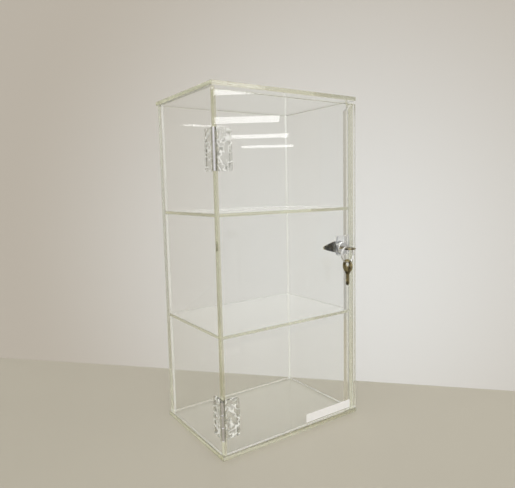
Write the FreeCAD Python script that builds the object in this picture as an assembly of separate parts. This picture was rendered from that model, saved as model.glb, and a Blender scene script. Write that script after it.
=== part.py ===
import FreeCAD
import Part
import math
import os

os.makedirs("parts", exist_ok=True)

# Lengths are millimetres. The origin is the middle of the base's underside, +Z is up,
# +Y points to the back and the door faces -Y, so +X is to the right of someone at the door.

# Case: cemented sheets of clear acrylic
case_width = 254.0
case_depth = 178.0
case_height = 508.0
sheet = 6.0
panel_inset = 2.0
cement_line = 0.1
edge_ease = 0.3
cut_overrun = 2.0

# Shelves: thinner sheets that part the case into equal rooms
shelf_sheet = 4.5
shelf_names = ["lower_shelf", "upper_shelf"]
shelf_front_gap = 1.0

# Door: one sheet that closes the front between the base and the top
door_sheet = 6.0
door_seat_gap = 0.5
door_bottom_gap = 1.5
door_top_gap = 5.0
door_latch_reveal = 0.5
door_hinge_reveal = 0.4

# Lock stile: the upright bar behind the door's free edge, its top cut at a slant
stile_width = 13.0
stile_depth = 9.0
stile_top_gap = 2.5
stile_slant = 13.0

# Hinges: moulded clear leaves round the case's front left edge
hinge_height = 55.0
lower_hinge_rise = 26.0
upper_hinge_drop = 53.0
knuckle_count = 3
knuckle_radius = 3.5
knuckle_gap = 0.3
knuckle_room = 0.4
pin_radius = 1.5
pin_seat_play = 0.02
pin_running_play = 0.08
leaf_thickness = 2.5
leaf_fold_play = 0.3
door_leaf_width = 27.0
frame_leaf_width = 25.5
leaf_corner = 3.0
leaf_rim = 3.6
leaf_recess = 0.9
recess_corner = 4.0

# Lock: a cam lock through the door, on a clear block that spaces its head off the door
lock_from_right = 32.5
lock_above_middle = 22.5
block_sheet = 4.0
block_width = 25.0
block_height = 30.0
block_shift = 1.5
block_rise = 4.0
head_radius = 10.3
head_thickness = 2.0
head_rounding = 0.8
barrel_radius = 8.0
barrel_flat = 7.1
barrel_fit = 0.2
washer_radius = 10.5
washer_thickness = 1.0
nut_across_flats = 19.0
nut_thickness = 4.5
nut_fit = 0.1
cam_clearance = 1.0

# Plug: the part of the lock that the key turns
plug_radius = 5.7
plug_rim_radius = 6.9
plug_rim = 1.2
plug_play = 0.06
plug_sink = 0.2
plug_end_play = 0.1
tang_size = 6.4
tang_spare = 0.1
tang_fit = 0.05
wafer_count = 5
wafer_thickness = 1.0
wafer_width = 4.4
wafer_length = 10.0
wafer_fit = 0.08
first_wafer = 3.0
wafer_pitch = 2.8

# Cam and its screw
cam_thickness = 2.0
cam_hub_radius = 8.5
cam_reach = 23.0
cam_tip_radius = 3.2
screw_radius = 2.0
screw_depth = 4.5
screw_fit = 0.05
screw_head_radius = 4.0
screw_head = 2.8
screw_slot = 1.0
screw_slot_depth = 1.3

# Keys: a flat blank with an oval bow and a cut blade
key_thickness = 2.0
blade_width = 6.0
blade_length = 18.5
blade_fit = 0.15
blade_end_room = 0.6
blade_tip = 2.2
cut_depths = [1.2, 1.9, 0.8, 1.6, 1.1]
cut_floor = 0.7
cut_spread = 1.2
groove_width = 1.6
groove_depth = 0.4
shoulder_gap = 0.3
shoulder_width = 8.0
shoulder_length = 2.2
bow_length = 21.0
bow_width = 19.5
bow_bite = 1.5
bow_ease = 0.35
bow_rim = 3.2
bow_hole_radius = 4.0

# Ring: two turns of wire through both keys
ring_radius = 12.0
ring_wire = 1.2
ring_turn_gap = 0.45
ring_turns = 2
ring_flats = 8
ring_turned_share = 0.5
ring_samples = 25
ring_swing_play = 0.5
spare_drop_play = 1.0

# Places worked out from the sizes above
left = -case_width / 2
right = case_width / 2
front = -case_depth / 2
back = case_depth / 2
base_top = sheet
top_underside = case_height - sheet
panel_bottom = base_top + cement_line
panel_top = top_underside - cement_line
left_outer = left + panel_inset
left_inner = left_outer + sheet
right_outer = right - panel_inset
right_inner = right_outer - sheet
back_outer = back - panel_inset
back_inner = back_outer - sheet
door_front = front
door_back = door_front + door_sheet
door_left = left_outer + door_hinge_reveal
door_right = right - door_latch_reveal
door_bottom = base_top + door_bottom_gap
door_top = top_underside - door_top_gap
seat_y = door_back + door_seat_gap
stile_back = seat_y + stile_depth
stile_inner = right_outer - stile_width

leaf_stand = leaf_fold_play + leaf_thickness + cement_line
hinge_x = left_outer - leaf_stand
hinge_y = door_front - leaf_stand
hinge_bottoms = {
    "lower": base_top + lower_hinge_rise,
    "upper": top_underside - upper_hinge_drop - hinge_height,
}

lock_x = right - lock_from_right
lock_z = (base_top + top_underside) / 2 + lock_above_middle
block_back = door_front - cement_line
block_front = block_back - block_sheet
head_back = block_front - cement_line
head_front = head_back - head_thickness
plug_front = head_front + plug_sink
cam_front = stile_back + cam_clearance
barrel_end = cam_front - plug_end_play
cam_back = cam_front + cam_thickness
tang_end = cam_back - tang_spare
washer_front = door_back + cement_line
nut_front = washer_front + washer_thickness + cement_line

shoulder_y = plug_front - shoulder_gap
bow_end = shoulder_y - shoulder_length - bow_length + bow_bite
hole_off_middle = bow_length / 2 - bow_rim - bow_hole_radius
bow_side = bow_width / 2 * math.sqrt(1 - (2 * hole_off_middle / bow_length) ** 2)
side_rim = bow_side - bow_hole_radius
ring_pivot_x = lock_x - bow_hole_radius - side_rim / 2
ring_pivot_y = bow_end + bow_rim + bow_hole_radius
ring_inner = ring_radius - ring_wire / 2
ring_z = lock_z + side_rim / 2 + ring_swing_play - ring_inner
ring_pitch = ring_wire + ring_turn_gap
spare_pivot_z = ring_z - ring_radius


def point(x, y, z):
    return FreeCAD.Vector(x, y, z)


AXIS_X = point(1, 0, 0)
AXIS_Y = point(0, 1, 0)
AXIS_Z = point(0, 0, 1)


def block(x_span, y_span, z_span):
    """A box between the two ends of each span."""
    size = [span[1] - span[0] for span in (x_span, y_span, z_span)]
    return Part.makeBox(size[0], size[1], size[2], point(x_span[0], y_span[0], z_span[0]))


def eased_sheet(x_span, y_span, z_span):
    """A sheet of acrylic with its sharp edges scraped off."""
    solid = block(x_span, y_span, z_span)
    return solid.makeChamfer(edge_ease, solid.Edges)


def edges_along(solid, axis):
    """The straight edges of a solid that run along an axis."""
    found = []
    for edge in solid.Edges:
        run = edge.Vertexes[-1].Point - edge.Vertexes[0].Point
        if run.Length > 0 and abs(run.normalize().dot(axis)) > math.cos(math.radians(1)):
            found.append(edge)
    return found


def prism(outline, direction):
    """A solid pushed out from a closed outline of corner points."""
    face = Part.Face(Part.makePolygon(outline + [outline[0]]))
    return face.extrude(direction)


def lock_cylinder(radius, y_span):
    """A cylinder on the lock's axis."""
    return Part.makeCylinder(radius, y_span[1] - y_span[0], point(lock_x, y_span[0], lock_z), AXIS_Y)


def lock_barrel(radius, half_flat, y_span):
    """A cylinder on the lock's axis with a flat on its left and right."""
    reach = radius + cut_overrun
    flats = block([lock_x - half_flat, lock_x + half_flat], y_span, [lock_z - reach, lock_z + reach])
    return lock_cylinder(radius, y_span).common(flats)


def lock_hole(solid, y_span):
    """Cuts the lock's flat-sided hole through a sheet."""
    through = [y_span[0] - cut_overrun, y_span[1] + cut_overrun]
    return solid.cut(lock_barrel(barrel_radius + barrel_fit, barrel_flat + barrel_fit, through))


def make_case():
    """The fixed sheets of the case."""
    across = [left, right]
    deep = [front, back]
    high = [panel_bottom, panel_top]
    return {
        "base_panel": eased_sheet(across, deep, [0, base_top]),
        "top_panel": eased_sheet(across, deep, [top_underside, case_height]),
        "left_panel": eased_sheet([left_outer, left_inner], [seat_y, back_outer], high),
        "right_panel": eased_sheet([right_inner, right_outer], [stile_back + cement_line, back_outer], high),
        "back_panel": eased_sheet(
            [left_inner + cement_line, right_inner - cement_line], [back_inner, back_outer], high
        ),
    }


def make_stile():
    """The bar that the door shuts against and the cam turns behind."""
    stile_top = top_underside - stile_top_gap
    outline = [
        point(stile_inner, seat_y, panel_bottom),
        point(right_outer, seat_y, panel_bottom),
        point(right_outer, seat_y, stile_top),
        point(stile_inner, seat_y, stile_top - stile_slant),
    ]
    solid = prism(outline, point(0, stile_depth, 0))
    return solid.makeChamfer(edge_ease, solid.Edges)


def make_shelf(level):
    """A shelf at the given level, notched round the lock stile."""
    room = (top_underside - base_top) / (len(shelf_names) + 1)
    middle = base_top + room * level
    z_span = [middle - shelf_sheet / 2, middle + shelf_sheet / 2]
    x_span = [left_inner + cement_line, right_inner - cement_line]
    shelf = eased_sheet(x_span, [door_back + shelf_front_gap, back_inner - cement_line], z_span)
    notch = block(
        [stile_inner - cement_line, right_outer],
        [door_back, stile_back + cement_line],
        [z_span[0] - cut_overrun, z_span[1] + cut_overrun],
    )
    return shelf.cut(notch)


def make_door():
    """The door sheet with the lock's hole."""
    door = eased_sheet([door_left, door_right], [door_front, door_back], [door_bottom, door_top])
    return lock_hole(door, [door_front, door_back])


def knuckle_span(place):
    """The heights of one knuckle of a hinge, counted from the hinge's bottom."""
    step = hinge_height / knuckle_count
    low = place * step + (knuckle_gap / 2 if place > 0 else 0)
    high = (place + 1) * step - (knuckle_gap / 2 if place < knuckle_count - 1 else 0)
    return [low, high]


def make_leaf(width, own_knuckles, bore_play):
    """A hinge leaf with its pin on the Z axis, reaching along +X, its sheet on the +Y side."""
    inner = leaf_stand - cement_line
    outer = inner - leaf_thickness
    start = knuckle_radius + knuckle_room
    plate = block([start, width], [outer, inner], [0, hinge_height])
    far_corners = [edge for edge in edges_along(plate, AXIS_Y) if edge.CenterOfMass.x > width / 2]
    plate = plate.makeFillet(leaf_corner, far_corners)
    recess = block(
        [start + leaf_rim, width - leaf_rim],
        [outer - cut_overrun, outer + leaf_recess],
        [leaf_rim, hinge_height - leaf_rim],
    )
    recess = recess.makeFillet(recess_corner, edges_along(recess, AXIS_Y))
    leaf = plate.cut(recess)
    for place in own_knuckles:
        low, high = knuckle_span(place)
        tab = block([0, start + leaf_rim / 2], [outer, inner], [low, high])
        knuckle = Part.makeCylinder(knuckle_radius, high - low, point(0, 0, low))
        leaf = leaf.fuse([tab, knuckle])
    bore = Part.makeCylinder(pin_radius + bore_play, hinge_height + 2 * cut_overrun, point(0, 0, -cut_overrun))
    return leaf.cut(bore).removeSplitter()


def make_hinge(side):
    """One hinge: a leaf on the door, a leaf on the left panel and the pin between them."""
    place = point(hinge_x, hinge_y, hinge_bottoms[side])
    frame_knuckles = list(range(0, knuckle_count, 2))
    door_knuckles = list(range(1, knuckle_count, 2))
    door_leaf = make_leaf(door_leaf_width, door_knuckles, pin_running_play)
    frame_leaf = make_leaf(frame_leaf_width, frame_knuckles, pin_seat_play)
    frame_leaf = frame_leaf.mirror(point(0, 0, 0), point(1, -1, 0))
    pin = Part.makeCylinder(pin_radius, hinge_height)
    pin = pin.makeChamfer(edge_ease, [edge for edge in pin.Edges if len(edge.Vertexes) == 1])
    pieces = {
        side + "_hinge_door_leaf": door_leaf,
        side + "_hinge_frame_leaf": frame_leaf,
        side + "_hinge_pin": pin,
    }
    return {name: shape.translated(place) for name, shape in pieces.items()}


def make_lock_block():
    """The clear block under the lock's head."""
    across = lock_x + block_shift
    middle = lock_z + block_rise
    solid = eased_sheet(
        [across - block_width / 2, across + block_width / 2],
        [block_front, block_back],
        [middle - block_height / 2, middle + block_height / 2],
    )
    return lock_hole(solid, [block_front, block_back])


def make_lock_body():
    """The lock's housing: a rounded head and a barrel with two flats."""
    head = lock_cylinder(head_radius, [head_front, head_back])
    rim = [edge for edge in head.Edges if abs(edge.CenterOfMass.y - head_front) < edge_ease]
    head = head.makeFillet(head_rounding, rim)
    body = head.fuse(lock_barrel(barrel_radius, barrel_flat, [head_back, barrel_end]))
    bore = lock_cylinder(plug_radius + plug_play, [head_front - cut_overrun, barrel_end + cut_overrun])
    seat_end = plug_front + plug_rim + plug_end_play
    seat = lock_cylinder(plug_rim_radius + plug_play, [head_front - cut_overrun, seat_end])
    return body.cut([bore, seat]).removeSplitter()


def make_washer():
    """The flat washer between the door and the nut."""
    y_span = [washer_front, washer_front + washer_thickness]
    hole = [y_span[0] - cut_overrun, y_span[1] + cut_overrun]
    return lock_cylinder(washer_radius, y_span).cut(lock_cylinder(barrel_radius + nut_fit, hole))


def make_nut():
    """The hexagon nut that holds the lock in the door, its corners turned off."""
    corner = nut_across_flats / 2 / math.cos(math.pi / 6)
    outline = []
    for index in range(6):
        turn = math.radians(60 * index)
        outline.append(point(lock_x + corner * math.cos(turn), nut_front, lock_z + corner * math.sin(turn)))
    nut = prism(outline, point(0, nut_thickness, 0))
    slope = Part.makeCone(
        corner, corner - nut_thickness, nut_thickness * 2, point(lock_x, nut_front, lock_z), AXIS_Y
    )
    hole = [nut_front - cut_overrun, nut_front + nut_thickness + cut_overrun]
    return nut.common(slope).cut(lock_cylinder(barrel_radius + nut_fit, hole))


def wafer_span(index, play):
    """The front and back of one wafer along the lock's axis."""
    start = plug_front + first_wafer + index * wafer_pitch
    return [start - play, start + wafer_thickness + play]


def keyway(play, y_span):
    """The flat slot that the key's blade fills."""
    half_width = blade_width / 2 + play
    half_height = key_thickness / 2 + play
    return block([lock_x - half_width, lock_x + half_width], y_span, [lock_z - half_height, lock_z + half_height])


def make_plug():
    """The turning plug with its keyway, wafer slots and square tang."""
    rim = lock_cylinder(plug_rim_radius, [plug_front, plug_front + plug_rim])
    core = lock_cylinder(plug_radius, [plug_front, barrel_end])
    half_tang = tang_size / 2
    tang = block(
        [lock_x - half_tang, lock_x + half_tang], [barrel_end, tang_end], [lock_z - half_tang, lock_z + half_tang]
    )
    slots = [keyway(blade_fit, [plug_front - cut_overrun, shoulder_y + blade_length + blade_end_room])]
    reach = plug_rim_radius + cut_overrun
    half_slot = wafer_width / 2 + wafer_fit
    for index in range(wafer_count):
        slots.append(
            block(
                [lock_x - reach, lock_x + reach],
                wafer_span(index, wafer_fit),
                [lock_z - half_slot, lock_z + half_slot],
            )
        )
    slots.append(lock_cylinder(screw_radius + screw_fit, [tang_end - screw_depth, tang_end + cut_overrun]))
    return rim.fuse([core, tang]).cut(slots).removeSplitter()


def make_wafers():
    """The wafers that the key's cuts line up, one plate in each slot of the plug."""
    plates = []
    for index in range(wafer_count):
        y_span = wafer_span(index, 0)
        plate = block(
            [lock_x - wafer_length / 2, lock_x + wafer_length / 2],
            y_span,
            [lock_z - wafer_width / 2, lock_z + wafer_width / 2],
        )
        plates.append(plate.cut(keyway(blade_fit, [y_span[0] - cut_overrun, y_span[1] + cut_overrun])))
    return Part.makeCompound(plates)


def make_cam():
    """The tapered cam, pointing to the hinge side while the lock is open."""
    y_span = [cam_front, cam_back]
    hub = lock_cylinder(cam_hub_radius, y_span)
    tip_x = lock_x - cam_reach + cam_tip_radius
    tip = Part.makeCylinder(cam_tip_radius, cam_thickness, point(tip_x, cam_front, lock_z), AXIS_Y)
    lean = math.asin((cam_hub_radius - cam_tip_radius) / (lock_x - tip_x))
    outline = []
    for centre, radius, sign in (
        (lock_x, cam_hub_radius, 1),
        (tip_x, cam_tip_radius, 1),
        (tip_x, cam_tip_radius, -1),
        (lock_x, cam_hub_radius, -1),
    ):
        edge = radius * math.cos(lean) * sign
        outline.append(point(centre - radius * math.sin(lean), cam_front, lock_z + edge))
    arm = prism(outline, point(0, cam_thickness, 0))
    half_hole = tang_size / 2 + tang_fit
    hole = block(
        [lock_x - half_hole, lock_x + half_hole],
        [cam_front - cut_overrun, cam_back + cut_overrun],
        [lock_z - half_hole, lock_z + half_hole],
    )
    return hub.fuse([tip, arm]).cut(hole).removeSplitter()


def make_cam_screw():
    """The screw that holds the cam on the plug."""
    head = lock_cylinder(screw_head_radius, [cam_back + cement_line, cam_back + screw_head])
    top = [edge for edge in head.Edges if abs(edge.CenterOfMass.y - cam_back - screw_head) < edge_ease]
    head = head.makeChamfer(edge_ease, top)
    shank = lock_cylinder(screw_radius, [tang_end - screw_depth + screw_fit, cam_back + screw_head / 2])
    reach = screw_head_radius + cut_overrun
    slot = block(
        [lock_x - screw_slot / 2, lock_x + screw_slot / 2],
        [cam_back + screw_head - screw_slot_depth, cam_back + screw_head + cut_overrun],
        [lock_z - reach, lock_z + reach],
    )
    return head.fuse(shank).cut(slot).removeSplitter()


def oval_face(centre, half_x, half_y):
    """A flat oval about a centre, with its longer axis along X or Y."""
    outline = Part.Ellipse(centre, max(half_x, half_y), min(half_x, half_y)).toShape()
    if half_y > half_x:
        outline.rotate(centre, AXIS_Z, 90)
    return Part.Face(Part.Wire(outline))


def make_key():
    """A key on the Y axis: blade towards +Y from the shoulder at the origin, bow towards -Y."""
    half_blade = blade_width / 2
    half_thick = key_thickness / 2
    outline = [point(-half_blade, -shoulder_length, -half_thick), point(half_blade, -shoulder_length, -half_thick)]
    for index, depth in enumerate(cut_depths):
        middle = first_wafer + shoulder_gap + index * wafer_pitch + wafer_thickness / 2
        floor = half_blade - depth
        flat = cut_floor / 2
        slope = flat + cut_spread * depth / max(cut_depths) / 2
        outline += [
            point(half_blade, middle - slope, -half_thick),
            point(floor, middle - flat, -half_thick),
            point(floor, middle + flat, -half_thick),
            point(half_blade, middle + slope, -half_thick),
        ]
    outline += [
        point(half_blade, blade_length - blade_tip, -half_thick),
        point(0, blade_length, -half_thick),
        point(-half_blade, blade_length - blade_tip, -half_thick),
    ]
    blade = prism(outline, point(0, 0, key_thickness))
    shoulder = block(
        [-shoulder_width / 2, shoulder_width / 2], [-shoulder_length - bow_bite, 0], [-half_thick, half_thick]
    )
    bow_middle = -shoulder_length - bow_length / 2 + bow_bite
    oval = oval_face(point(0, bow_middle, -half_thick), bow_width / 2, bow_length / 2)
    bow = oval.extrude(point(0, 0, key_thickness))
    bow = bow.makeChamfer(bow_ease, [edge for edge in bow.Edges if len(edge.Vertexes) == 1])
    hole_y = bow_middle - bow_length / 2 + bow_rim + bow_hole_radius
    hole = Part.makeCylinder(
        bow_hole_radius, key_thickness + 2 * cut_overrun, point(0, hole_y, -half_thick - cut_overrun)
    )
    groove_span = [-shoulder_length / 2, blade_length + cut_overrun]
    grooves = [
        block([-groove_width, 0], groove_span, [half_thick - groove_depth, half_thick + cut_overrun]),
        block([-groove_width, 0], groove_span, [-half_thick - cut_overrun, groove_depth - half_thick]),
    ]
    return blade.fuse([shoulder, bow]).cut([hole] + grooves).removeSplitter()


def make_spare_key():
    """The second key, hanging from the ring with its edge to the door."""
    hole_y = bow_end - shoulder_y + bow_rim + bow_hole_radius
    key = make_key().translated(point(0, -hole_y, 0))
    key.rotate(point(0, 0, 0), AXIS_X, -90)
    key.rotate(point(0, 0, 0), AXIS_Z, 90)
    hole_z = spare_pivot_z + ring_wire / 2 + spare_drop_play - bow_hole_radius
    return key.translated(point(ring_pivot_x, ring_pivot_y, hole_z))


def ring_spine():
    """The line of the ring's wire about the Z axis: tilted half circles that meet square to X."""
    arcs = []
    rise = ring_pitch / 2
    swell = math.hypot(ring_radius, rise / 2)
    for half in range(2 * ring_turns):
        side = 1 if half % 2 == 0 else -1
        start = point(side * ring_radius, 0, rise * half)
        middle = point(0, side * swell, rise * half + rise / 2)
        end = point(-side * ring_radius, 0, rise * (half + 1))
        arcs.append(Part.Arc(start, middle, end).toShape())
    return Part.Wire(arcs)


def least_turn_gap(spine):
    """The least gap between one turn of the wire and the next, measured on points of its line."""
    samples = [spot for arc in spine.Edges for spot in arc.discretize(ring_samples)[:-1]]
    turn = 2 * (ring_samples - 1)
    gaps = []
    for index, spot in enumerate(samples):
        later = samples[index + turn // 2:]
        gaps += [(spot - other).Length for other in later]
    return min(gaps) - ring_wire


def ring_section():
    """The end of the ring's wire, rolled to narrow flats."""
    corners = []
    for corner in range(ring_flats):
        angle = 2 * math.pi * (corner + ring_turned_share) / ring_flats
        out = ring_wire / 2 * math.cos(angle)
        up = ring_wire / 2 * math.sin(angle)
        corners.append(point(ring_radius + out, 0, up))
    return Part.makePolygon(corners + corners[:1])


def make_ring():
    """The split ring: wire wound side by side about an axis along Y, round the side of the bow."""
    spine = ring_spine()
    ring = spine.makePipeShell([ring_section()], True, False)
    ring = ring.translated(point(0, 0, -ring_pitch * ring_turns / 2))
    ring.rotate(point(0, 0, 0), AXIS_X, 90)
    print("gap between the turns of the ring: %.2f mm" % least_turn_gap(spine))
    return ring.translated(point(ring_pivot_x, ring_pivot_y, ring_z))


nodes = make_case()
nodes["lock_stile"] = make_stile()
for level, name in enumerate(shelf_names, start=1):
    nodes[name] = make_shelf(level)
nodes["door_panel"] = make_door()
for side in hinge_bottoms:
    nodes.update(make_hinge(side))
nodes["lock_block"] = make_lock_block()
nodes["lock_body"] = make_lock_body()
nodes["lock_washer"] = make_washer()
nodes["lock_nut"] = make_nut()
nodes["lock_plug"] = make_plug()
nodes["wafer_tumblers"] = make_wafers()
nodes["lock_cam"] = make_cam()
nodes["cam_screw"] = make_cam_screw()
nodes["lock_key"] = make_key().translated(point(lock_x, shoulder_y, lock_z))
nodes["key_ring"] = make_ring()
nodes["spare_key"] = make_spare_key()

for name, shape in nodes.items():
    shape.exportStep("parts/" + name + ".step")
    box = shape.BoundBox
    print(name, len(shape.Solids), shape.isValid(), "%.1f" % (shape.Volume / 1000), "cm3",
          "x %.1f %.1f y %.1f %.1f z %.1f %.1f" % (box.XMin, box.XMax, box.YMin, box.YMax, box.ZMin, box.ZMax))
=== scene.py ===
# %% [markdown]
# # A clear acrylic display tower
#
# This lesson dresses the model of a countertop showcase: cemented sheets of clear acrylic, two shelves,
# a door on moulded hinges, and a small cam lock with its keys. Almost everything on it is see-through,
# so the work is in the glassy materials, in the satin edges and in what the sheets mirror.

import math

import bmesh
import bpy
from mathutils import Matrix, Vector


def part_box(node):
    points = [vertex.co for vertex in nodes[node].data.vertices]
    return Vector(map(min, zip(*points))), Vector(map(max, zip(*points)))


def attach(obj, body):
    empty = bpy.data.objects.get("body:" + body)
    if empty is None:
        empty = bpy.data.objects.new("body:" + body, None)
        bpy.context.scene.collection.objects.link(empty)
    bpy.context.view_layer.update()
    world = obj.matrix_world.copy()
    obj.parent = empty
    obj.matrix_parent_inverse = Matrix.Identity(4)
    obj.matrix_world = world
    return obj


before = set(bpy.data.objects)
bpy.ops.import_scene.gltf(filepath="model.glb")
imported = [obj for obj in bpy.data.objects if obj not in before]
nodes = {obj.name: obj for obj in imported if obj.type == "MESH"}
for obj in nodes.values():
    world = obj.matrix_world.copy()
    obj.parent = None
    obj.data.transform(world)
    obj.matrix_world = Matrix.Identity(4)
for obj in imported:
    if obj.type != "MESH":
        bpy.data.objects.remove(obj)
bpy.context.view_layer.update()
mm = 0.001
print("pieces loaded:", len(nodes))

# %% [markdown]
# ## Camera
#
# The picture was taken from the front left, a little below the top of the tower, so the top shows its
# underside and the base its upper side. A camera's turn is easiest to read as three turns in a row:
# round the upright axis, down from the horizon, and a small roll about the line of sight.

# %% Camera at the picture's viewpoint
picture_width = 515
focal_in_pixels = 484.15
camera_place = Vector((-0.4339, -0.6368, 0.3689))
camera_yaw = math.radians(34.123)
camera_dip = math.radians(6.374)
camera_roll = math.radians(-1.313)

camera = bpy.data.objects.new("camera", bpy.data.cameras.new("camera"))
bpy.context.scene.collection.objects.link(camera)
camera.data.lens = focal_in_pixels / picture_width * camera.data.sensor_width
camera.matrix_world = (
    Matrix.Translation(camera_place)
    @ Matrix.Rotation(-camera_yaw, 4, "Z")
    @ Matrix.Rotation(math.pi / 2 - camera_dip, 4, "X")
    @ Matrix.Rotation(camera_roll, 4, "Z")
)
bpy.context.scene.camera = camera
print("lens in millimetres:", round(camera.data.lens, 2))

# %% [markdown]
# ## Sums on shader sockets
#
# A material is a chain of nodes, and most of the chain is arithmetic. The small class below wraps one
# output of a node, so that `1 - mask` adds the Math node by itself. Every other node comes from its
# method `node`, which takes the node's kind, its settings and what goes into its sockets.


# %% A socket that can be added and multiplied
class Signal:
    """One output of a shader node, which adds Math nodes when it is used in a sum."""

    def __init__(self, tree, socket):
        self.tree = tree
        self.socket = socket

    def node(self, kind, settings=None, inputs=None, output=0):
        """Adds a node to the same tree: its settings first, then its sockets."""
        made = self.tree.nodes.new(kind)
        for name, value in (settings or {}).items():
            setattr(made, name, value)
        for name, value in (inputs or {}).items():
            if isinstance(value, Signal):
                self.tree.links.new(value.socket, made.inputs[name])
            else:
                made.inputs[name].default_value = value
        return Signal(self.tree, made.outputs[output]) if made.outputs else None

    def math(self, operation, first, second=0.0):
        """Adds a Math node."""
        return self.node("ShaderNodeMath", {"operation": operation}, {0: first, 1: second})

    def vector_math(self, operation, first, second, output):
        """Adds a Vector Math node, which gives a vector or a value."""
        return self.node("ShaderNodeVectorMath", {"operation": operation}, {0: first, 1: second}, output)

    def __add__(self, other):
        return self.math("ADD", self, other)

    def __sub__(self, other):
        return self.math("SUBTRACT", self, other)

    def __rsub__(self, other):
        return self.math("SUBTRACT", other, self)

    def __mul__(self, other):
        return self.math("MULTIPLY", self, other)

    def __abs__(self):
        return self.math("ABSOLUTE", self)

    def __gt__(self, level):
        return self.math("GREATER_THAN", self, level)

    def __lt__(self, level):
        return self.math("LESS_THAN", self, level)


# %% [markdown]
# ## What the materials share
#
# Each material starts from an empty tree of nodes and from the piece's own coordinates, in metres. Noise
# gives soft random values about one half. They mix two colours, set a roughness between two limits, or
# draw thin lines where they pass one half. A clear piece can have a matt layer that covers a share of it,
# such as dust, and a tint inside.


# %% Places, noise and mixing
across_x, across_y, across_z = range(3)
noise_middle = 0.5


def new_material(name):
    """An empty material, and the signal of a piece's own coordinates in it."""
    material = bpy.data.materials.new(name)
    material.use_nodes = True
    tree = material.node_tree
    tree.nodes.clear()
    coordinates = tree.nodes.new("ShaderNodeTexCoord")
    return material, Signal(tree, coordinates.outputs["Object"])


def part_along(vector, axis):
    """The part of a vector along one axis."""
    return vector.node("ShaderNodeSeparateXYZ", None, {"Vector": vector}, axis)


def facing_along(place, axis):
    """How squarely a face looks along an axis, from -1 to 1."""
    direction = place.node("ShaderNodeTexCoord", None, None, "Normal")
    return part_along(direction, axis)


def noise(place, per_metre, detail=2.0, stretch=(1.0, 1.0, 1.0)):
    """Soft random values about one half, at so many lumps per metre, stretched along the axes."""
    spread = place.node("ShaderNodeMapping", None, {"Vector": place, "Scale": stretch})
    return place.node("ShaderNodeTexNoise", None, {"Vector": spread, "Scale": per_metre, "Detail": detail})


def level_lines(values, width):
    """One on thin lines where soft random values pass one half, and nothing elsewhere."""
    return abs(values - noise_middle) < width


def between(share, limits):
    """A value that goes from the first limit to the second as share goes from 0 to 1."""
    first, second = limits
    return share * (second - first) + first


def mix_colours(share, first, second):
    """The first colour where share is 0, and the second where it is 1."""
    share_input, first_input, second_input, colour_output = 0, 6, 7, 2
    inputs = {share_input: share, first_input: first, second_input: second}
    return share.node("ShaderNodeMix", {"data_type": "RGBA"}, inputs, colour_output)


def mix_shaders(share, first, second):
    """The first surface where share is 0, and the second where it is 1."""
    return share.node("ShaderNodeMixShader", None, {0: share, 1: first, 2: second})


# %% Surfaces, layers and dressing
def bump(height, strength, distance):
    """A normal that follows a height, in metres."""
    return height.node("ShaderNodeBump", None, {"Height": height, "Strength": strength, "Distance": distance})


def principled(colour, roughness, constants=None, normal=None):
    """The usual shader: a colour, a roughness, plain values for other sockets, and a bump."""
    inputs = {"Base Color": colour, "Roughness": roughness}
    inputs.update(constants or {})
    if normal:
        inputs["Normal"] = normal
    return colour.node("ShaderNodeBsdfPrincipled", None, inputs)


def matt_layer(clear, share, colour):
    """A clear surface, with a matt layer of one colour over a share of it."""
    layer = clear.node("ShaderNodeBsdfDiffuse", None, {"Color": colour})
    return mix_shaders(share, clear, layer)


def tint_inside(place, colour, per_metre):
    """A tint that deepens with the way that light goes inside a piece."""
    return place.node("ShaderNodeVolumeAbsorption", None, {"Color": colour, "Density": per_metre})


def show(surface, inside=None):
    """Joins a shader, and what fills the piece, to the material's output."""
    inputs = {"Surface": surface}
    if inside:
        inputs["Volume"] = inside
    surface.node("ShaderNodeOutputMaterial", None, inputs)


def dress(material, *names):
    """Puts a material on pieces of the frame."""
    for name in names:
        for slot in nodes[name].material_slots:
            slot.material = material
    print(material.name, "on", ", ".join(names))


# %% [markdown]
# ## Clear sheet
#
# Cast acrylic is clear through its thickness, but light that runs along the sheet comes out of the edges
# with a straw tint. A weak absorption inside the sheet does the same here: nothing shows over six
# millimetres, and a quarter of a metre turns olive. The faces are polished, with faint smears and a few
# hairline scratches. The edges are scraped and buffed, so they are satin. Which faces are edges is read
# from the direction a face looks in: on an edge it is not that of the sheet's thickness.

# %% Clear sheet: values
clear_acrylic = {"IOR": 1.49, "Transmission Weight": 1.0}
face_tint = (0.99, 0.993, 0.99, 1.0)
edge_tint = (0.96, 0.95, 0.88, 1.0)
straw = (0.72, 0.74, 0.42, 1.0)
straw_per_metre = 2.0
sheet_squareness = 0.9

smears_per_metre = 14.0
smear_roughness = 0.02
scratches_per_metre = 30.0
scratch_stretch = (1.0, 1.0, 6.0)
scratch_width = 0.004
scratch_roughness = 0.04
buffing_per_metre = 1500.0
buffing_stretch = (1.0, 1.0, 0.2)
satin_roughness = (0.05, 0.15)

# Dust and painted sheen: the matt white layer is real dust, and it also paints a sheen that brightens the
# sheets.
matt_white = (0.95, 0.95, 0.93, 1.0)
dust_and_sheen_on_upright = 0.015
dust_and_sheen_on_flat = 0.05
dust_and_sheen_patches = (0.8, 1.2)
glance_power = 4.0
glance_thickness = (1.0, 6.0)

lock_low, lock_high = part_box("lock_body")
lock_middle = (lock_low + lock_high) / 2
drilled_radius = 9 * mm
drilled_matt = 0.8
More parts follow.
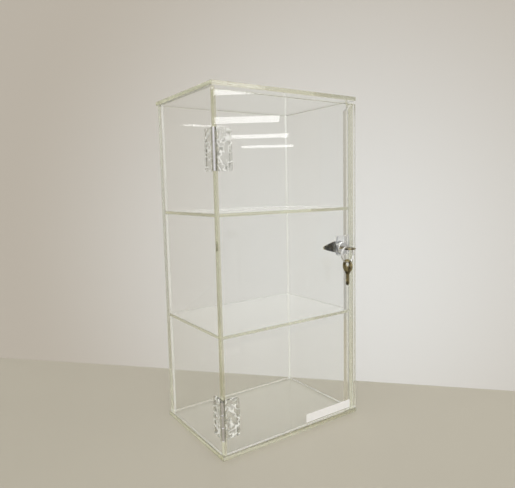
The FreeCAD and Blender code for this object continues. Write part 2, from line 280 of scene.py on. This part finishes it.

# %% [markdown]
# A thin film of dust is what makes a clear face look milky in bright light, and the same matt layer is a
# painted sheen, which brightens the door and the shelves as if they mirrored a bright room. It lies on the
# faces of an upright sheet, and more of it settles on top of a sheet that lies flat. It looks thicker at a
# glancing angle. The walls of the hole drilled for the lock are matt as well.


# %% Clear sheet: material
def drilled_hole(place, edge):
    """One on the walls of the hole for the lock, and nothing elsewhere."""
    keep_x_and_z = (1.0, 0.0, 1.0)
    flat = place.vector_math("MULTIPLY", place, keep_x_and_z, "Vector")
    axis_place = (lock_middle.x, 0.0, lock_middle.z)
    away = place.vector_math("DISTANCE", flat, axis_place, "Value")
    return (away < drilled_radius) * edge


def dust_and_sheen_cover(place, smears, dust_and_sheen_faces):
    """Uneven dust and painted sheen where it has settled, thicker at a glancing angle, on the outside only.
    """
    from_inside = place.node("ShaderNodeNewGeometry", None, None, "Backfacing")
    glancing = place.node("ShaderNodeLayerWeight", None, None, "Facing")
    thickness = between(place.math("POWER", glancing, glance_power), glance_thickness)
    return between(smears, dust_and_sheen_patches) * thickness * dust_and_sheen_faces * (1 - from_inside)


def clear_sheet(name, thickness_axis, dust_and_sheen_share):
    """A clear sheet with satin edges, for sheets whose thickness is along one axis."""
    material, place = new_material(name)
    squareness = facing_along(place, thickness_axis)
    edge = abs(squareness) < sheet_squareness
    smears = noise(place, smears_per_metre, detail=4.0)
    scratched = noise(place, scratches_per_metre, detail=1.0, stretch=scratch_stretch)
    hairline = level_lines(scratched, scratch_width)
    buffing = noise(place, buffing_per_metre, stretch=buffing_stretch)
    polish = smears * smear_roughness + hairline * scratch_roughness
    roughness = polish + edge * between(buffing, satin_roughness)
    acrylic = principled(mix_colours(edge, face_tint, edge_tint), roughness, clear_acrylic)
    dust_and_sheen_faces = squareness > sheet_squareness if thickness_axis == across_z else 1 - edge
    dust_and_sheen = dust_and_sheen_cover(place, smears, dust_and_sheen_faces) * dust_and_sheen_share
    matt = dust_and_sheen + drilled_hole(place, edge) * drilled_matt
    show(matt_layer(acrylic, matt, matt_white), tint_inside(place, straw, straw_per_metre))
    return material


side_sheet = clear_sheet("clear_side_sheet", across_x, dust_and_sheen_on_upright)
front_sheet = clear_sheet("clear_front_sheet", across_y, dust_and_sheen_on_upright)
flat_sheet = clear_sheet("clear_flat_sheet", across_z, dust_and_sheen_on_flat)
dress(side_sheet, "left_panel", "right_panel")
dress(front_sheet, "door_panel", "back_panel", "lock_stile")
dress(flat_sheet, "base_panel", "top_panel", "lower_shelf", "upper_shelf")

# %% [markdown]
# ## Lock block
#
# The small block under the lock is sawn from thicker stock. Its sides are polished, with a cool painted sheen
# in upright streaks, and only the ends that look up and down are left as the saw made them.

# %% Lock block material
end_squareness = 0.3
polish_per_metre = 20.0
polish_roughness = 0.03
saw_lines_per_metre = 900.0
saw_stretch = (1.0, 0.1, 1.0)
sawn_roughness = (0.1, 0.4)
cool_painted_sheen = (0.72, 0.74, 0.82, 1.0)
painted_sheen_cover = 0.2
streaks_per_metre = 400.0
upright_streaks = (1.0, 1.0, 0.1)


def clear_bar(name):
    """A clear bar with sawn ends, and sides streaked with a painted sheen."""
    material, place = new_material(name)
    sawn = abs(facing_along(place, across_z)) > end_squareness
    saw_lines = noise(place, saw_lines_per_metre, detail=1.0, stretch=saw_stretch)
    polish = noise(place, polish_per_metre) * polish_roughness
    roughness = polish + sawn * between(saw_lines, sawn_roughness)
    acrylic = principled(mix_colours(sawn, face_tint, edge_tint), roughness, clear_acrylic)
    # Painted sheen: cool bluish matt streaks on the sides.
    painted_sheen_streaks = noise(place, streaks_per_metre, stretch=upright_streaks) * painted_sheen_cover
    show(matt_layer(acrylic, painted_sheen_streaks, cool_painted_sheen), tint_inside(place, straw, straw_per_metre))
    return material


dress(clear_bar("clear_bar"), "lock_block")

# %% [markdown]
# ## Hinges
#
# The hinge leaves are moulded, not cut from sheet, so their skin is a little uneven, and they look greyer
# than the panels. A smoky absorption and a greyer tint on their edges, which is painted shade, draw the
# outlines of leaf and recess, and the knuckles have no such edges, so that the bright pin shows in them. The
# cement behind the leaves has spread in loops: those are the level lines of a soft noise, white and matt.

# %% Hinge materials
moulded_plastic = {"IOR": 1.58, "Transmission Weight": 1.0}
moulded_tint = (0.97, 0.97, 0.96, 1.0)
moulded_edge_shade = (0.34, 0.33, 0.26, 1.0)
moulded_roughness = (0.02, 0.12)
leaf_squareness = 0.5
skin_haze_per_metre = 60.0
ripples_per_metre = 160.0
ripple_height = 0.3 * mm
smoke = (0.45, 0.45, 0.38, 1.0)
smoke_per_metre = 90.0
cement_white = (0.98, 0.98, 0.95, 1.0)
loops_per_metre = 95.0
loop_width = 0.035
loop_cover = 0.8
knuckle_wall = 3 * mm


def moulded_clear(name, thickness_axis, leaf_axis, leaf_start):
    """Clear moulded plastic with a slightly wavy skin and loops of cement."""
    material, place = new_material(name)
    on_leaf = part_along(place, leaf_axis) > leaf_start
    edge = (abs(facing_along(place, thickness_axis)) < leaf_squareness) * on_leaf
    ripples = noise(place, ripples_per_metre) * on_leaf
    haze = noise(place, skin_haze_per_metre, detail=3.0)
    loops = level_lines(noise(place, loops_per_metre, detail=1.0), loop_width) * on_leaf
    # Painted shade: the olive-grey edge tint draws the dark outlines of leaf and recess.
    colour = mix_colours(edge, mix_colours(haze, moulded_tint, face_tint), moulded_edge_shade)
    skin = bump(ripples, strength=0.25, distance=ripple_height)
    plastic = principled(colour, between(haze, moulded_roughness), moulded_plastic, skin)
    surface = matt_layer(plastic, loops * loop_cover, cement_white)
    show(surface, tint_inside(place, smoke, smoke_per_metre))
    return material


leaf_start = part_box("upper_hinge_pin")[1] + Vector((knuckle_wall, knuckle_wall, 0))
door_leaf_moulding = moulded_clear("door_leaf_moulding", across_y, across_x, leaf_start.x)
frame_leaf_moulding = moulded_clear("frame_leaf_moulding", across_x, across_y, leaf_start.y)
dress(door_leaf_moulding, "lower_hinge_door_leaf", "upper_hinge_door_leaf")
dress(frame_leaf_moulding, "lower_hinge_frame_leaf", "upper_hinge_frame_leaf")

# %% [markdown]
# ## Metals
#
# The pins, the lock and the keys are small and dark against all the clear sheet. Each metal is one bright
# and one dull colour mixed by noise, with a roughness that follows the same noise, so that handled places
# look duller. Stretching the noise along one axis turns it into the marks of a file. On the keys the dull
# colour is near black and the contrast is high, so their patches are painted highlights and painted shade
# as well as wear. The cam and its screw are near black instead, a painted dark reflection, with small
# painted glints in a few places.

# %% Metal materials
metal = {"Metallic": 1.0}
patch_roughness = 0.15
marks_per_patch = 8.0
mark_roughness = 0.1
mark_depth = 0.05 * mm
glint_level = 0.55
dark_and_glint_roughness = (0.12, 0.22)
file_marks = (4.0, 0.3, 4.0)


def worn_metal(name, bright, dull, smoothest, per_metre, stretch=(1.0, 1.0, 1.0), contrast=1.0):
    """Metal in bright and dull patches with fine marks. Smoothest is its least roughness."""
    material, place = new_material(name)
    patches = noise(place, per_metre, detail=4.0)
    marks = noise(place, per_metre * marks_per_patch, stretch=stretch)
    wear = (patches - noise_middle) * contrast + noise_middle
    roughness = patches * patch_roughness + marks * mark_roughness + smoothest
    skin = bump(marks, strength=0.15, distance=mark_depth)
    show(principled(mix_colours(wear, bright, dull), roughness, metal, skin))
    return material


def glint_painted_metal(name, dark, painted_glint, per_metre):
    """Near-black metal, a painted dark reflection, with small painted glints in a few places."""
    material, place = new_material(name)
    glint_spots = noise(place, per_metre) > glint_level
    show(principled(mix_colours(glint_spots, dark, painted_glint), between(glint_spots, dark_and_glint_roughness), metal))
    return material


# Painted reflection: the near-black colour stands in for the dark room the cam mirrors, and the bright spots
# are painted glints.
painted_glint_nickel = glint_painted_metal(
    "painted_glint_nickel", dark=(0.03, 0.027, 0.02, 1.0), painted_glint=(0.90, 0.84, 0.62, 1.0), per_metre=260.0,
)
zinc = worn_metal(
    "zinc_plate", bright=(0.36, 0.37, 0.38, 1.0), dull=(0.18, 0.18, 0.18, 1.0),
    smoothest=0.14, per_metre=150.0,
)
wafer_brass = worn_metal(
    "wafer_brass", bright=(0.62, 0.50, 0.26, 1.0), dull=(0.42, 0.33, 0.17, 1.0),
    smoothest=0.15, per_metre=200.0,
)
# On the keys the near-black dull colour and the raised contrast paint highlights and shade as well as wear.
key_brass = worn_metal(
    "key_brass", bright=(0.42, 0.35, 0.19, 1.0), dull=(0.04, 0.028, 0.012, 1.0),
    smoothest=0.20, per_metre=160.0, stretch=file_marks, contrast=4.0,
)
ring_steel = worn_metal(
    "ring_steel", bright=(0.86, 0.86, 0.86, 1.0), dull=(0.66, 0.66, 0.65, 1.0),
    smoothest=0.06, per_metre=160.0,
)
pin_steel = worn_metal(
    "pin_steel", bright=(0.94, 0.92, 0.98, 1.0), dull=(0.78, 0.77, 0.83, 1.0),
    smoothest=0.10, per_metre=160.0,
)
dress(painted_glint_nickel, "lock_cam", "cam_screw")
dress(zinc, "lock_washer", "lock_nut")
dress(wafer_brass, "wafer_tumblers")
dress(key_brass, "lock_key", "spare_key")
dress(ring_steel, "key_ring")
dress(pin_steel, "lower_hinge_pin", "upper_hinge_pin")

# %% [markdown]
# ## Lock body and plug
#
# Only the front of the lock is plated bright, because that is the side that shows in use. Behind the head
# the barrel is near black, a painted dark reflection, with a thread cut along it, and the plug is plain brass
# with fine turning marks.
# Where the plating ends is a place along the lock's axis, so the mask is one comparison. The thread and
# the marks are a wave along the same axis, as a bump.

# %% Lock body and plug materials
plating_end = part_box("lock_block")[0].y
bright_chrome = (0.90, 0.90, 0.90, 1.0)
# Painted reflection: the barrel's near black stands in for the dark surroundings it mirrors.
barrel_painted_dark = (0.05, 0.045, 0.035, 1.0)
plug_yellow = (0.42, 0.33, 0.18, 1.0)
dull_share = 0.5
lock_patches_per_metre = 140.0
plated_roughness = (0.06, 0.18)
thread_pitch = 1.0 * mm
thread_depth = 0.2 * mm
turned_depth = 0.02 * mm


def plated_front(name, behind, groove_depth):
    """Metal with bright plating in front of a place along Y, and grooves behind it."""
    material, place = new_material(name)
    along_lock = part_along(place, across_y)
    plated = along_lock < plating_end
    patches = noise(place, lock_patches_per_metre, detail=3.0)
    dull = tuple(level * dull_share for level in behind[:3]) + (1.0,)
    colour = mix_colours(plated, mix_colours(patches, behind, dull), bright_chrome)
    wave = place.math("SINE", along_lock * (2 * math.pi / thread_pitch))
    grooves = bump(wave * (1 - plated), strength=1.0, distance=groove_depth)
    show(principled(colour, between(patches, plated_roughness), metal, grooves))
    return material


dress(plated_front("lock_plating", barrel_painted_dark, thread_depth), "lock_body")
dress(plated_front("plug_brass", plug_yellow, turned_depth), "lock_plug")

# %% [markdown]
# ## Modelling by hand, in code
#
# New pieces are made as in edit mode: a primitive is added, edges are picked by a test, and an operator
# shapes them. Three helpers keep that short. The first clears the selection, because an operator acts on
# all that is selected. The second rounds the edges whose run, from end to end, passes the test. The third
# names and dresses the piece, and lets it ride on one of the part's bodies.


# %% Helpers for edit mode
def clear_selection():
    """Leaves nothing selected."""
    bpy.ops.object.select_all(action="DESELECT")


def round_edges(test, offset, segments):
    """Bevels those edges of the new piece whose run passes a test."""
    bpy.ops.object.transform_apply(location=True, rotation=True, scale=True)
    bpy.ops.object.mode_set(mode="EDIT")
    bpy.ops.mesh.select_all(action="DESELECT")
    mesh = bpy.context.object.data
    for edge in bmesh.from_edit_mesh(mesh).edges:
        start, end = edge.verts
        if test(end.co - start.co):
            edge.select_set(True)
    bmesh.update_edit_mesh(mesh)
    bpy.ops.mesh.bevel(offset=offset, segments=segments, affect="EDGES")
    bpy.ops.object.mode_set(mode="OBJECT")


def settle(name, body, material):
    """Names and dresses the new piece, and lets it ride on a body."""
    piece = bpy.context.object
    piece.name = name
    piece.data.name = name
    piece.data.materials.append(material)
    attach(piece, body)
    print(name, "has", len(piece.data.polygons), "faces")


# %% [markdown]
# ## Bare label
#
# A white strip of self-adhesive film sits low on the door, near its free edge. It is left blank. A thin
# box would do, but its corners are rounded by a cutting die, so the four short edges that run through the
# film's thickness are bevelled.

# %% Label material
film_white = (0.86, 0.85, 0.84, 1.0)
film_grey = (0.80, 0.79, 0.78, 1.0)
film_roughness = (0.35, 0.55)
grain_per_metre = 700.0
grain_depth = 0.02 * mm


def label_film(name):
    """Matt white film with a faint grain."""
    material, place = new_material(name)
    grain = noise(place, grain_per_metre, detail=3.0)
    colour = mix_colours(grain, film_white, film_grey)
    skin = bump(grain, strength=0.1, distance=grain_depth)
    show(principled(colour, between(grain, film_roughness), normal=skin))
    return material


# %% Label on the door
label_width = 92 * mm
label_height = 13 * mm
label_thickness = 0.15 * mm
label_corner = 1.2 * mm
label_from_free_edge = 14 * mm
label_from_bottom = 4.5 * mm
film_glue = 0.03 * mm

door_low, door_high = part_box("door_panel")
label_size = Vector((label_width, label_thickness, label_height))
label_middle = Vector((
    door_high.x - label_from_free_edge - label_width / 2,
    door_low.y - film_glue - label_thickness / 2,
    door_low.z + label_from_bottom + label_height / 2,
))
clear_selection()
bpy.ops.mesh.primitive_cube_add(size=1, location=label_middle, scale=label_size)
round_edges(lambda run: abs(run.y) > label_thickness / 2, label_corner, segments=4)
settle("bare_label", "door", label_film("label_film"))

# %% [markdown]
# ## Cement in the back corners
#
# Solvent cement squeezes out of the joints between the back and the sides, and sets as a milky bead in
# each corner of each room. The beads' milky white is partly a painted highlight: it draws the bright lines
# up the far corners. Each is a thin rod whose two ends are rounded.

# %% Cement material
runs_per_metre = 60.0
upright_runs = (1.0, 1.0, 0.15)
run_depth = 0.2 * mm
bead_roughness = 0.06
milk_and_highlight_cover = (0.6, 1.0)


def clear_bead(name):
    """Milky clear cement, partly a painted highlight, smooth but not quite even along its length."""
    material, place = new_material(name)
    runs = noise(place, runs_per_metre, stretch=upright_runs)
    skin = bump(runs, strength=0.3, distance=run_depth)
    colour = mix_colours(runs, face_tint, moulded_tint)
    cement = principled(colour, runs * bead_roughness, clear_acrylic, skin)
    # Painted highlight: the milky white layer also stands in for the bright lines up the far corners.
    show(matt_layer(cement, between(runs, milk_and_highlight_cover), cement_white))
    return material


# %% Cement beads
bead_radius = 1.8 * mm
bead_play = 0.15 * mm
bead_sides = 24
bead_rounding = 0.6 * mm
smooth_below = math.radians(40)
side_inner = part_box("right_panel")[0].x - bead_play - bead_radius
back_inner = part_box("back_panel")[0].y - bead_play - bead_radius


def cement_bead(name, x, bottom, top, material):
    """One upright bead with rounded ends, between two flat sheets."""
    middle = Vector((x, back_inner, (bottom + top) / 2))
    length = top - bottom - 2 * bead_play
    clear_selection()
    bpy.ops.mesh.primitive_cylinder_add(
        vertices=bead_sides, radius=bead_radius, depth=length, location=middle
    )
    round_edges(lambda run: abs(run.z) < length / 2, bead_rounding, segments=3)
    bpy.ops.object.shade_smooth_by_angle(angle=smooth_below)
    settle(name, "case", material)


floors = ["base_panel", "lower_shelf", "upper_shelf"]
ceilings = ["lower_shelf", "upper_shelf", "top_panel"]
cement_clear = clear_bead("cement_clear")
for room, (under, over) in enumerate(zip(floors, ceilings), start=1):
    room_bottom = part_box(under)[1].z
    room_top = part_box(over)[0].z
    for side, x in (("left", -side_inner), ("right", side_inner)):
        cement_bead("%s_bead_%d" % (side, room), x, room_bottom, room_top, cement_clear)

# %% [markdown]
# ## Floor and wall
#
# The tower stands on a pale table with its far corner close to a pale wall. A clear case would still throw
# a grey shadow on them, and the eye would see that shadow through it. So both show part of their own
# colour whatever light falls on them, to the camera and through clear or mirroring pieces. The wall is
# brightest behind the tower, and one-sided: seen from behind it is clear, so that the other sides of the
# tower can be looked at as well.

# %% Floor and wall materials
floor_pale = (0.46, 0.43, 0.355, 1.0)
floor_dim = (0.43, 0.40, 0.33, 1.0)
floor_roughness = (0.25, 0.35)
floor_shine_through = 0.4
clouds_per_metre = 3.0
wall_size = 8.0
wall_pale = (0.76, 0.755, 0.73, 1.0)
wall_dim = (0.49, 0.445, 0.38, 1.0)
wall_roughness = 0.8
wall_shine_through = 0.75
pool_along = 0.10
pool_height = 0.22
pool_radius = 0.75


def own_colour(lit, colour, share):
    """A backdrop's lit surface, with a share of its colour that no shadow falls on."""
    seen = lit.node("ShaderNodeLightPath", None, None, "Is Camera Ray")
    for kind in ("Is Glossy Ray", "Is Transmission Ray"):
        seen = lit.math("MAXIMUM", seen, lit.node("ShaderNodeLightPath", None, None, kind))
    glow = lit.node("ShaderNodeEmission", None, {"Color": colour})
    return mix_shaders(seen * share, lit, glow)


def table_top(name):
    """A pale, slightly glossy table top."""
    material, place = new_material(name)
    clouds = noise(place, clouds_per_metre)
    colour = mix_colours(clouds, floor_pale, floor_dim)
    surface = principled(colour, between(clouds, floor_roughness))
    show(own_colour(surface, colour, floor_shine_through))
    return material


def one_sided_wall(name):
    """A matt pale wall with a pool of light on it, clear from behind."""
    material, place = new_material(name)
    pool_middle = (pool_along, pool_height - wall_size / 2, 0)
    away = place.vector_math("DISTANCE", place, pool_middle, "Value")
    fading = {"Value": away, "From Max": pool_radius}
    faded = place.node("ShaderNodeMapRange", {"interpolation_type": "SMOOTHSTEP"}, fading)
    colour = mix_colours(faded, wall_pale, wall_dim)
    front = own_colour(principled(colour, wall_roughness), colour, wall_shine_through)
    from_behind = place.node("ShaderNodeNewGeometry", None, None, "Backfacing")
    nothing = place.node("ShaderNodeBsdfTransparent")
    show(mix_shaders(from_behind, front, nothing))
    return material


# %% Floor and wall
floor_width = 2.4
floor_depth = 1.8
floor_middle = Vector((-0.1, 0.4, 0))
floor_gap = 0.2 * mm
wall_gap = 10 * mm
wall_turn = math.radians(-47.2)

clear_selection()
bpy.ops.mesh.primitive_plane_add(size=1)
floor = bpy.context.object
floor.name = "floor"
floor.scale = (floor_width, floor_depth, 1)
floor.location = floor_middle - Vector((0, 0, floor_gap))
bpy.ops.object.transform_apply(location=True, rotation=True, scale=True)
floor.data.materials.append(table_top("table_top"))

far_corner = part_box("base_panel")[1]
wall_outward = Matrix.Rotation(wall_turn, 3, "Z") @ Vector((0, 1, 0))
wall_foot = Vector((far_corner.x, far_corner.y, -floor_gap)) + wall_outward * wall_gap
clear_selection()
bpy.ops.mesh.primitive_plane_add(size=wall_size, rotation=(math.pi / 2, 0, wall_turn))
wall = bpy.context.object
wall.name = "wall"
wall.location = wall_foot + Vector((0, 0, wall_size / 2))
wall.data.materials.append(one_sided_wall("wall_paint"))
print("wall foot at", [round(value, 3) for value in wall_foot])

# %% [markdown]
# ## Light
#
# The room's light is a pale sky, brightest high up behind the camera, with a soft lamp over the tower.
# Their light goes straight through the clear sheets to the shelves and the wall. A row of ceiling lamps
# stands far to the front right. They hardly light the tower, but the door mirrors them as the bright
# streaks across its upper room.

# %% Sky
sky_bright = (1.75, 1.74, 1.71, 1.0)
sky_dim = (0.44, 0.435, 0.42, 1.0)
bright_side = Vector((-0.40, -0.55, 0.73)).normalized()
glow_power = 2.0

world = bpy.data.worlds.new("pale_sky")
world.use_nodes = True
sky_tree = world.node_tree
sky_tree.nodes.clear()
look = Signal(sky_tree, sky_tree.nodes.new("ShaderNodeTexCoord").outputs["Generated"])
towards = look.vector_math("DOT_PRODUCT", look, bright_side, "Value")
glow = look.math("POWER", look.math("MAXIMUM", towards, 0.0), glow_power)
sky = look.node("ShaderNodeBackground", None, {"Color": mix_colours(glow, sky_dim, sky_bright)})
look.node("ShaderNodeOutputWorld", None, {"Surface": sky})
bpy.context.scene.world = world


# %% Lamps
def soft_lamp(name, place, turn, size, power, through_glass):
    """A flat lamp that the camera does not see directly."""
    lamp = bpy.data.objects.new(name, bpy.data.lights.new(name, "AREA"))
    bpy.context.scene.collection.objects.link(lamp)
    lamp.data.shape = "RECTANGLE"
    lamp.data.size, lamp.data.size_y = size
    lamp.data.energy = power
    lamp.location = place
    lamp.rotation_euler = turn
    lamp.visible_camera = False
    lamp.visible_transmission = through_glass


overhead_place = Vector((0.1, -0.3, 1.8))
overhead_turn = (0, 0, 0)
overhead_size = (1.4, 1.4)
overhead_power = 9.0
soft_lamp("lamp_overhead", overhead_place, overhead_turn, overhead_size, overhead_power, through_glass=True)

row_count = 4
row_start = Vector((1.50, -3.15, 1.2))
row_step = Vector((1.20, -1.38, 0))
row_turn = (0, 0, math.radians(36))
row_lamp_size = (1.0, 0.55)
row_lamp_power = 14.0
for index in range(row_count):
    row_place = row_start + row_step * index
    soft_lamp("row_lamp_%d" % index, row_place, row_turn, row_lamp_size, row_lamp_power, through_glass=False)
print("lamps:", 1 + row_count)

# %% [markdown]
# ## Render settings
#
# Light that runs along a clear sheet bounces many times before it leaves by an edge. With too few bounces
# the edges go black, so the limits are raised. The filter that blurs glossy bounces after a matt one is
# turned off, because it would hold back the light that falls into the case through the sheets.

# %% Bounces and view
edge_bounces = 48
cycles = bpy.context.scene.cycles
cycles.max_bounces = edge_bounces
cycles.transmission_bounces = edge_bounces
cycles.glossy_bounces = edge_bounces
cycles.blur_glossy = 0.0
bpy.context.scene.view_settings.view_transform = "Standard"
